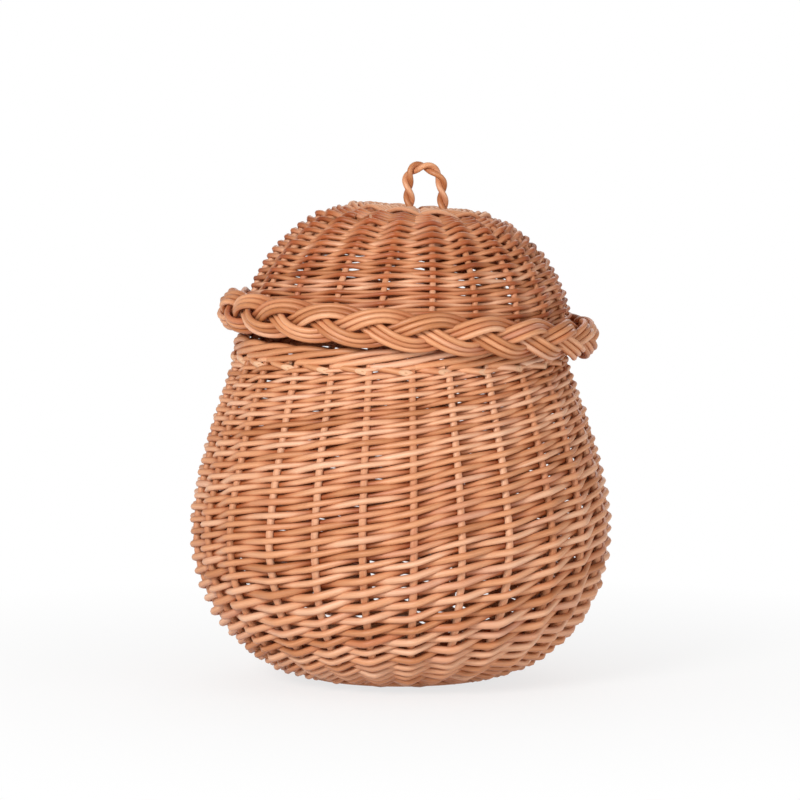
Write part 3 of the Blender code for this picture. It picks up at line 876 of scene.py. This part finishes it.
def plait(radius, bearing, matrix):
    """Three bundles that wave up and down in turn, each on top as it leaves the middle."""
    waves = LID_STAKES // PLAIT_BUNDLES
    steps = PLAIT_STEPS * waves
    for bundle in range(PLAIT_BUNDLES):
        phase = 2 * pi * bundle / PLAIT_BUNDLES + pi
        angle = bearing + (PLAIT_JOIN_WAVE - phase) / waves + 2 * pi * np.arange(steps + 1) / steps
        wave = waves * (angle - bearing) + phase
        height = PLAIT_WAVE_HEIGHT * np.sin(wave)
        out = radius + PLAIT_WAVE_DEPTH * np.sin(2 * wave)
        middle = around(out, angle, height)
        ahead = unit(np.gradient(middle, axis=0))
        ahead[0] = ahead[-1] = unit((middle[1] - middle[-2])[None, :])[0]
        away = outward(angle)
        up = unit(np.cross(away, ahead))
        back = unit(np.cross(ahead, up))
        lean = -PLAIT_LEAN * np.sin(wave)
        across = up * np.cos(lean)[:, None] + back * np.sin(lean)[:, None]
        for number in range(PLAIT_BUNDLE_RODS):
            seed = PLAIT_SEED + BUNDLE_SEED * bundle + number
            aside = (number - (PLAIT_BUNDLE_RODS - 1) / 2) * PLAIT_ROD_THICKNESS * PLAIT_ROD_SPACING
            line = moved(middle + across * aside, matrix)
            radii = np.full(steps + 1, PLAIT_ROD_THICKNESS / 2)
            # Its crossings only set the painted shade: on the inner side where the bundle swings out, and on
            # the outer side where it swings in
            rod(
                f"plait_{bundle + 1}_rod_{number + 1}", line, radii, turned(away, matrix), "rim_willow", seed,
                "lid", (PLAIT_NODES[bundle],), THICK_ROD_SIDES, crossings=PLAIT_PAINTED_SHADE * np.sin(2 * wave),
            )


# Loop


def loop(matrix):
    """One rod that goes over the loop, doubles back and twists round itself, as two lengths side by side."""
    half = LOOP_SPAN / 2
    straight = LOOP_RISE - half + LOOP_FOOT_DEPTH
    length = 2 * straight + pi * half
    walked = np.linspace(0.0, length, LOOP_POINTS)
    turn = np.clip((walked - straight) / half, 0.0, pi)
    x = -half * np.cos(turn)
    z = np.where(turn > 0, straight + half * np.sin(turn), walked)
    z = np.where(walked > straight + pi * half, length - walked, z) - LOOP_FOOT_DEPTH
    out = np.stack((-np.cos(turn), np.zeros(len(turn)), np.sin(turn)), axis=1)
    x = x - LOOP_LEAN_SHARE * np.maximum(z, 0.0) + LOOP_OFFSET
    middle = np.stack((x, np.zeros(len(x)), z + LID_HEIGHT + LID_TOP_THICKNESS / 2), axis=1)
    across = np.array([[0.0, 1.0, 0.0]])
    for side in (0, 1):
        roll = 2 * pi * LOOP_TURNS * walked / length + pi * side
        offset = out * np.cos(roll)[:, None] + across * np.sin(roll)[:, None]
        line = moved(middle + offset * LOOP_ROD_THICKNESS * LOOP_TWIST_SHARE, matrix)
        radii = np.full(len(line), LOOP_ROD_THICKNESS / 2)
        rod(
            f"loop_rod_{side + 1}", line, radii, turned(offset, matrix), "rim_willow", LOOP_SEED + side, "lid",
            ("loop_handle",), LOOP_ROD_SIDES,
        )


# Assembly


def basket():
    """The body: its base, the wale at its foot, the woven wall, its stakes and the border."""
    still = Matrix.Identity(4)
    base_low, base_high = joint_box("base")
    base_radius = (base_high[0] - base_low[0]) / 2
    base_thickness = base_high[2] - base_low[2]
    wall_low, wall_high = joint_box(*BODY_BANDS)
    rim_low, rim_high = joint_box("rim_border")
    rim_reach = (rim_high[2] - rim_low[2]) / 2
    rim_radius = (rim_high[0] - rim_low[0]) / 2 - rim_reach
    mouth_height = (rim_high[2] + rim_low[2]) / 2 - BORDER_SETTLE
    rod_size = row_value(BODY_ROWS, ROD_THICKNESS, BELLY_SHARE)
    stake_size = sum(BODY_STAKE_SIZES) / 2
    reach = row_value(BODY_ROWS, PRESS, BELLY_SHARE) * (stake_size + rod_size) / 2 + rod_size / 2
    belly_radius = (wall_high[0] - wall_low[0]) / 2 + BELLY_EASE - reach
    foot_height = BODY_FOOT_SHARE * base_thickness
    wall = body_wall(base_radius, foot_height, belly_radius, rim_radius, rim_low[2])
    bearings = bearings_round(BODY_STAKE_NODES, (0.0, 0.0, 0.0), 1)
    rand = Rand(
        wall, 1, bearings, BODY_RODS, BODY_FIRST_ROW, wall.length - BODY_LAST_ROW, BODY_ROWS,
        BODY_STAKE_SIZES, BODY_SEED, "basket", still, mouth_height=mouth_height,
    )
    rand.wale(
        "foot_rod", FOOT_WALE_THICKNESS, FOOT_WALE_PITCH, FOOT_WALE_ROUNDS, FOOT_WALE_DEPTH, ("upsett",)
    )
    rand.weave("body_rod", BODY_BANDS)
    rand.stakes("body_stake", (base_radius - BODY_FOOT_INSET, foot_height), BODY_STAKE_NODES)
    border(rand, rim_radius, mouth_height)
    disc = ("base", base_radius, base_thickness / 2, bearings[0], "basket", "base", still, BASE_SEED)
    disc_sticks(*disc)
    disc_rounds(*disc)


def lid():
    """The lid, laid askew: its woven dome with a wale round the top, its stakes, the plait and the loop."""
    plait_low, plait_high = joint_box(*PLAIT_NODES)
    place = Vector((plait_low + plait_high) / 2)
    tilt = Euler((-LID_FRONT_UP, LID_RIGHT_DOWN, 0.0)).to_matrix().to_4x4()
    seat = Matrix.Translation(place) @ tilt
    wall = lid_wall()
    stakes = LID_STAKE_NODES[:1] + LID_STAKE_NODES[:0:-1]
    bearing = bearing_of(stakes[0], place)
    rand = Rand(
        wall, -1, bearings_round(stakes, place, -1), LID_RODS, LID_FIRST_ROW, wall.length - LID_LAST_ROW,
        LID_ROWS, LID_STAKE_SIZES, LID_SEED, "lid", seat, LID_TONE,
    )
    rand.weave("lid_rod", LID_BANDS)
    rand.wale(
        "crown_rod", CROWN_WALE_THICKNESS, CROWN_WALE_PITCH, CROWN_WALE_ROUNDS, CROWN_WALE_DEPTH,
        ("lid_crown_weave",),
    )
    rand.stakes("dome_stake", (LID_TOP_RADIUS - LID_FOOT_INSET, LID_HEIGHT), stakes)
    plait_radius = (plait_high[1] - plait_low[1]) / 2 - PLAIT_WAVE_DEPTH - PLAIT_ROD_THICKNESS / 2
    plait(plait_radius, bearing, seat)
    disc = ("lid_top", LID_TOP_RADIUS, LID_HEIGHT, bearing, "lid", "lid_top", seat, LID_TOP_SEED)
    disc_sticks(*disc)
    disc_rounds(*disc)
    loop(seat)


# Stage


def rays(nodes, links, *kinds):
    """1 for rays of these kinds, and 0 for all others."""
    path = nodes.new("ShaderNodeLightPath")
    found = path.outputs[kinds[0]]
    for kind in kinds[1:]:
        found = maths(nodes, links, "MAXIMUM", found, path.outputs[kind])
    return found


def lay_floor():
    """A white floor, where the basket's shadow shows faintly and fades out with the distance."""
    bpy.ops.mesh.primitive_circle_add(vertices=FLOOR_SIDES, radius=FLOOR_RADIUS, fill_type="NGON")
    floor = bpy.context.object
    floor.name = "floor"
    material, nodes, links = new_material("floor_white")
    nodes.clear()
    diffuse = nodes.new("ShaderNodeBsdfDiffuse")
    diffuse.inputs["Color"].default_value = (FLOOR_GREY, FLOOR_GREY, FLOOR_GREY, 1.0)
    glow = nodes.new("ShaderNodeEmission")
    geometry = nodes.new("ShaderNodeNewGeometry")
    distance = nodes.new("ShaderNodeVectorMath")
    distance.operation = "LENGTH"
    links.new(geometry.outputs["Position"], distance.inputs[0])
    white = nodes.new("ShaderNodeMapRange")
    white.inputs["From Min"].default_value, white.inputs["From Max"].default_value = FLOOR_FADE
    white.inputs["To Min"].default_value = FLOOR_WHITE_SHARE
    links.new(distance.outputs["Value"], white.inputs["Value"])
    seen = rays(nodes, links, "Is Camera Ray", "Is Glossy Ray", "Is Transmission Ray")
    blend = nodes.new("ShaderNodeMixShader")
    links.new(maths(nodes, links, "MULTIPLY", seen, white.outputs["Result"]), blend.inputs["Fac"])
    links.new(diffuse.outputs["BSDF"], blend.inputs[1])
    links.new(glow.outputs["Emission"], blend.inputs[2])
    output = nodes.new("ShaderNodeOutputMaterial")
    links.new(blend.outputs["Shader"], output.inputs["Surface"])
    floor.data.materials.append(material)


def light():
    """A white world, which lights less than it shows, and soft lamps."""
    world = bpy.data.worlds.new("studio")
    bpy.context.scene.world = world
    world.use_nodes = True
    nodes, links = world.node_tree.nodes, world.node_tree.links
    strength = nodes.new("ShaderNodeMapRange")
    strength.inputs["To Min"].default_value = WORLD_LIGHT
    strength.inputs["To Max"].default_value = 1.0
    links.new(rays(nodes, links, "Is Camera Ray", "Is Transmission Ray"), strength.inputs["Value"])
    background = nodes["Background"]
    links.new(strength.outputs["Result"], background.inputs["Strength"])
    background.inputs["Color"].default_value = (1.0, 1.0, 1.0, 1.0)

    for name, place, width, power in LAMPS:
        data = bpy.data.lights.new(name, "AREA")
        data.shape = "DISK"
        data.size = width
        data.energy = power
        lamp = bpy.data.objects.new(name, data)
        lamp.location = place
        lamp.rotation_euler = (LIT_PLACE - Vector(place)).to_track_quat("-Z", "Y").to_euler()
        bpy.context.scene.collection.objects.link(lamp)


def camera():
    """The photograph's camera, level from side to side and aimed a little down."""
    data = bpy.data.cameras.new("camera")
    data.sensor_width = SENSOR_WIDTH
    data.lens = SENSOR_WIDTH * CAMERA_DISTANCE / (PIXEL_SIZE * FRAME_PIXELS)
    data.clip_end = CAMERA_CLIP
    viewer = bpy.data.objects.new("camera", data)
    viewer.location = AIM + CAMERA_DISTANCE * Vector((0.0, -cos(CAMERA_RISE), sin(CAMERA_RISE)))
    viewer.rotation_euler = (pi / 2 - CAMERA_RISE, 0.0, 0.0)
    bpy.context.scene.collection.objects.link(viewer)
    bpy.context.scene.camera = viewer


camera()
basket()
lid()
lay_floor()
light()
bpy.context.scene.view_settings.view_transform = "Standard"
